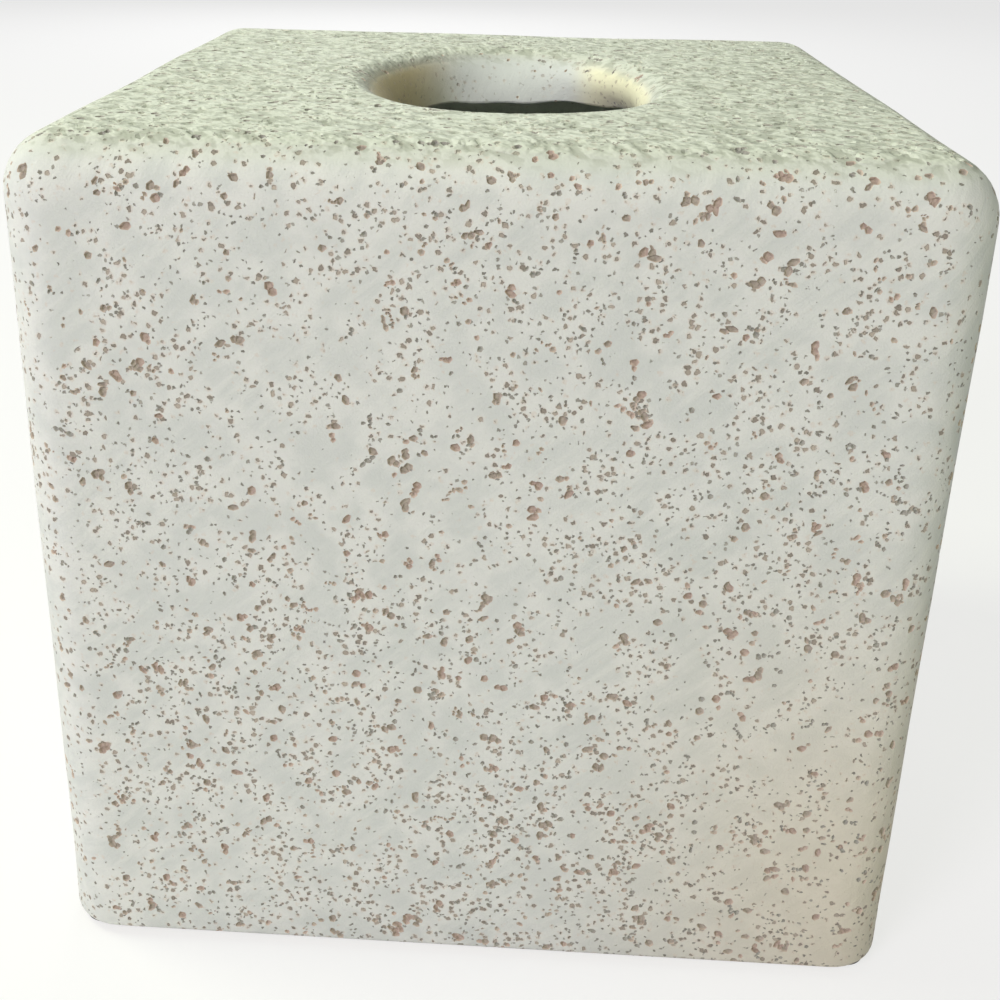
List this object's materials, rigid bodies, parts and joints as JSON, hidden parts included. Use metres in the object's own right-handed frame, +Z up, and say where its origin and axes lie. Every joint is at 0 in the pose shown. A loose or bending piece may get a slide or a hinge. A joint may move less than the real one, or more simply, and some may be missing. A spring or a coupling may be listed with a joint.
{
  "type": "tissue box cover",
  "caption": "Square ceramic cover with rounded edges that stands over an upright tissue carton, open at the foot, with a rolled oval opening in its roof and stick-on foot pads.",
  "frame": {"origin": "on the surface that the cover stands on, under the middle of the cover", "axes": "+Z up through the opening, -Y towards the front wall, +X to the right seen from the front"},
  "size_m": [0.14, 0.14, 0.1382],
  "materials": {
    "pitted_ceramic": "matte off-white coat with small pits that show brown clay",
    "pad_rubber": "matte"
  },
  "bodies": {
    "root": {"cover_shell": "pitted_ceramic", "foot_pad_front_left": "pad_rubber", "foot_pad_front_right": "pad_rubber", "foot_pad_back_left": "pad_rubber", "foot_pad_back_right": "pad_rubber"}
  },
  "joints": []
}
